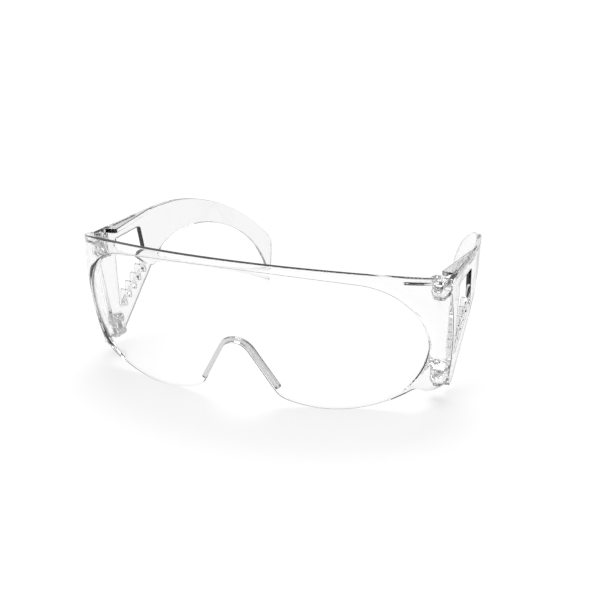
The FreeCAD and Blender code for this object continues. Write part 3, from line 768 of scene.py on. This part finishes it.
# ---------------------------------------------------------------- materials
def polycarbonate(name, wave, shadow):
    """Clear moulded plastic: a polished skin with faint flow waves and a little haze, darkened by the
    points' painted shade, a painted reflection of dark surroundings. For shadows and for light off the
    table it is only a faint filter."""
    material = bpy.data.materials.new(name)
    material.use_nodes = True
    nodes, links = material.node_tree.nodes, material.node_tree.links
    nodes.clear()
    coordinates = nodes.new("ShaderNodeTexCoord")
    flow = nodes.new("ShaderNodeTexNoise")
    flow.inputs["Scale"].default_value = 60.0
    flow.inputs["Detail"].default_value = 1.0
    links.new(coordinates.outputs["Object"], flow.inputs["Vector"])
    bump = nodes.new("ShaderNodeBump")
    bump.inputs["Strength"].default_value = wave
    bump.inputs["Distance"].default_value = 0.0004
    links.new(flow.outputs["Fac"], bump.inputs["Height"])
    haze = nodes.new("ShaderNodeTexNoise")
    haze.inputs["Scale"].default_value = 900.0
    haze.inputs["Detail"].default_value = 4.0
    links.new(coordinates.outputs["Object"], haze.inputs["Vector"])
    rough = nodes.new("ShaderNodeMapRange")
    rough.inputs["To Min"].default_value = 0.0
    rough.inputs["To Max"].default_value = 0.035
    links.new(haze.outputs["Fac"], rough.inputs["Value"])
    # painted shade: the points' painted reflection of dark surroundings darkens the base colour
    painted_shade = nodes.new("ShaderNodeAttribute")
    painted_shade.attribute_name = "painted_shade"
    shade_of = nodes.new("ShaderNodeValToRGB")
    shade_of.color_ramp.elements[0].color = (1, 1, 1, 1)
    shade_of.color_ramp.elements[1].color = (0, 0.005, 0.01, 1)
    links.new(painted_shade.outputs["Fac"], shade_of.inputs["Fac"])
    body = nodes.new("ShaderNodeBsdfPrincipled")
    body.inputs["IOR"].default_value = 1.585
    body.inputs["Transmission Weight"].default_value = 1.0
    links.new(shade_of.outputs["Color"], body.inputs["Base Color"])
    links.new(rough.outputs["Result"], body.inputs["Roughness"])
    links.new(bump.outputs["Normal"], body.inputs["Normal"])
    through = nodes.new("ShaderNodeBsdfTransparent")
    through.inputs["Color"].default_value = (shadow, shadow, shadow, 1)
    path = nodes.new("ShaderNodeLightPath")
    either = nodes.new("ShaderNodeMath")
    either.operation = "MAXIMUM"
    links.new(path.outputs["Is Shadow Ray"], either.inputs[0])
    links.new(path.outputs["Is Diffuse Ray"], either.inputs[1])
    mix = nodes.new("ShaderNodeMixShader")
    links.new(either.outputs["Value"], mix.inputs["Fac"])
    links.new(body.outputs["BSDF"], mix.inputs[1])
    links.new(through.outputs["BSDF"], mix.inputs[2])
    output = nodes.new("ShaderNodeOutputMaterial")
    links.new(mix.outputs["Shader"], output.inputs["Surface"])
    return material


def points_of(piece):
    """A piece's points in millimetres, with y = 0 at the front of the brow."""
    flat = np.empty(3 * len(piece.data.vertices))
    piece.data.vertices.foreach_get("co", flat)
    return flat.reshape(-1, 3) / MM + (0, HALF_DEPTH, 0)


def lens_painted_shade(piece):
    """Painted shade, standing for dark surroundings seen in the plastic: none on the optical zone,
    more on the border and most on the nose flange.
    """
    points = points_of(piece)
    clear = inside(points[:, [0, 2]], closed_below(oval_line(0)))
    painted_shade = np.where(clear, CLEAR_PAINTED_SHADE, BORDER_PAINTED_SHADE)
    _, _, wide = lens_turn(points[:, 2])
    across = np.clip(points[:, 0], -FRONT_HALF, FRONT_HALF)
    face = wide - np.sqrt(wide ** 2 - across ** 2) + lens_shift(points[:, 2])
    behind = points[:, 1] - face - LENS_WALL
    near_nose = (np.abs(points[:, 0]) < 25) & (points[:, 2] < 32)
    return np.where(near_nose & (behind > 0.15), FLANGE_PAINTED_SHADE, painted_shade)


def set_painted_shade(piece, painted_shade):
    # stores the painted shade, a painted reflection of dark surroundings, on each point
    attribute = piece.data.attributes.new("painted_shade", "FLOAT", "POINT")
    attribute.data.foreach_set("value", np.broadcast_to(painted_shade, len(piece.data.vertices)).astype(np.float32))


def table_top():
    """A white table that glows a little, so that shadows stay faint."""
    material = bpy.data.materials.new("table")
    material.use_nodes = True
    body = material.node_tree.nodes["Principled BSDF"]
    body.inputs["Base Color"].default_value = (0.9, 0.9, 0.9, 1)
    body.inputs["Roughness"].default_value = 0.9
    body.inputs["Specular IOR Level"].default_value = 0.0
    body.inputs["Emission Color"].default_value = (1, 1, 1, 1)
    body.inputs["Emission Strength"].default_value = 0.38
    return material


def dress(piece, material, painted_shade, slot, body, *nodes):
    """Give a piece its material, its painted shade, its body and the CAD nodes that it stands for."""
    shade(piece)
    set_painted_shade(piece, painted_shade)
    piece.data.materials.clear()
    piece.data.materials.append(material)
    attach(piece, body)
    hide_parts(*nodes)


# ---------------------------------------------------------------- the studio
def make_camera():
    camera = bpy.data.cameras.new("camera")
    camera.lens = 113.1
    camera.sensor_width = 36.0
    camera.clip_start = 0.01
    holder = bpy.data.objects.new("camera", camera)
    holder.location = Vector((262.3, -665.0, 287.0)) * MM
    aim = Vector((22.0, -54.9, 41.9)) * MM
    holder.rotation_euler = (aim - holder.location).to_track_quat("-Z", "Y").to_euler()
    bpy.context.scene.collection.objects.link(holder)
    bpy.context.scene.camera = holder


def make_floor():
    half = 4.0
    mesh = bpy.data.meshes.new("floor")
    corners = [(-half, -half, 0), (half, -half, 0), (half, half, 0), (-half, half, 0)]
    mesh.from_pydata(corners, [], [(0, 1, 2, 3)])
    floor = bpy.data.objects.new("floor", mesh)
    floor.location.z = -0.00005
    mesh.materials.append(table_top())
    bpy.context.scene.collection.objects.link(floor)


def make_light():
    """A soft sun from above and behind, in a room that the camera sees white, and that the plastic
    and the table see as white overhead and behind and grey low down in front."""
    lamp = bpy.data.lights.new("sun", "SUN")
    lamp.angle = math.radians(30)
    lamp.energy = 1.3
    sun = bpy.data.objects.new("sun", lamp)
    sun.location = (-0.25, 0.55, 1.0)
    sun.rotation_euler = (-sun.location).to_track_quat("-Z", "Y").to_euler()
    bpy.context.scene.collection.objects.link(sun)
    world = bpy.data.worlds.new("room")
    bpy.context.scene.world = world
    world.use_nodes = True
    nodes, links = world.node_tree.nodes, world.node_tree.links
    nodes.clear()
    coordinates = nodes.new("ShaderNodeTexCoord")
    split = nodes.new("ShaderNodeSeparateXYZ")
    links.new(coordinates.outputs["Generated"], split.inputs["Vector"])
    ramp = nodes.new("ShaderNodeValToRGB")
    stops = ramp.color_ramp.elements
    stops[0].position, stops[0].color = 0.0, (0.08, 0.08, 0.08, 1)
    stops[1].position, stops[1].color = 0.45, (1, 1, 1, 1)
    middle = stops.new(0.2)
    middle.color = (0.2, 0.2, 0.2, 1)
    tilt = nodes.new("ShaderNodeMath")
    tilt.operation = "MULTIPLY_ADD"
    tilt.inputs[1].default_value = 0.8
    links.new(split.outputs["Y"], tilt.inputs[0])
    links.new(split.outputs["Z"], tilt.inputs[2])
    links.new(tilt.outputs["Value"], ramp.inputs["Fac"])
    room = nodes.new("ShaderNodeBackground")
    links.new(ramp.outputs["Color"], room.inputs["Color"])
    room.inputs["Strength"].default_value = 0.5
    seen = nodes.new("ShaderNodeBackground")
    seen.inputs["Color"].default_value = (1, 1, 1, 1)
    path = nodes.new("ShaderNodeLightPath")
    mix = nodes.new("ShaderNodeMixShader")
    links.new(path.outputs["Is Camera Ray"], mix.inputs["Fac"])
    links.new(room.outputs["Background"], mix.inputs[1])
    links.new(seen.outputs["Background"], mix.inputs[2])
    output = nodes.new("ShaderNodeOutputWorld")
    links.new(mix.outputs["Shader"], output.inputs["Surface"])
    bpy.context.scene.view_settings.view_transform = "Standard"
    bpy.context.scene.cycles.max_bounces = 24
    bpy.context.scene.cycles.transmission_bounces = 24


# ---------------------------------------------------------------- build
make_camera()
make_floor()
make_light()
clear = polycarbonate("clear_polycarbonate", 0.15, 0.86)
clear_pin = polycarbonate("pin_polycarbonate", 0.05, 0.8)
lens = make_lens()
dress(lens, clear, lens_painted_shade(lens), "clear_lens", "front", "lens_shield")
for side, name in ((1, "left"), (-1, "right")):
    body = name + "_temple"
    dress(make_temple(side, "temple_" + name), clear, TEMPLE_PAINTED_SHADE, "clear_temple", body, body)
    for where in HINGES:
        node = "%s_%s_hinge_pin" % (name, where)
        pin = make_pin(side, where, "pin_%s_%s" % (name, where))
        dress(pin, clear_pin, PIN_PAINTED_SHADE, "hinge_pin", "front", node)
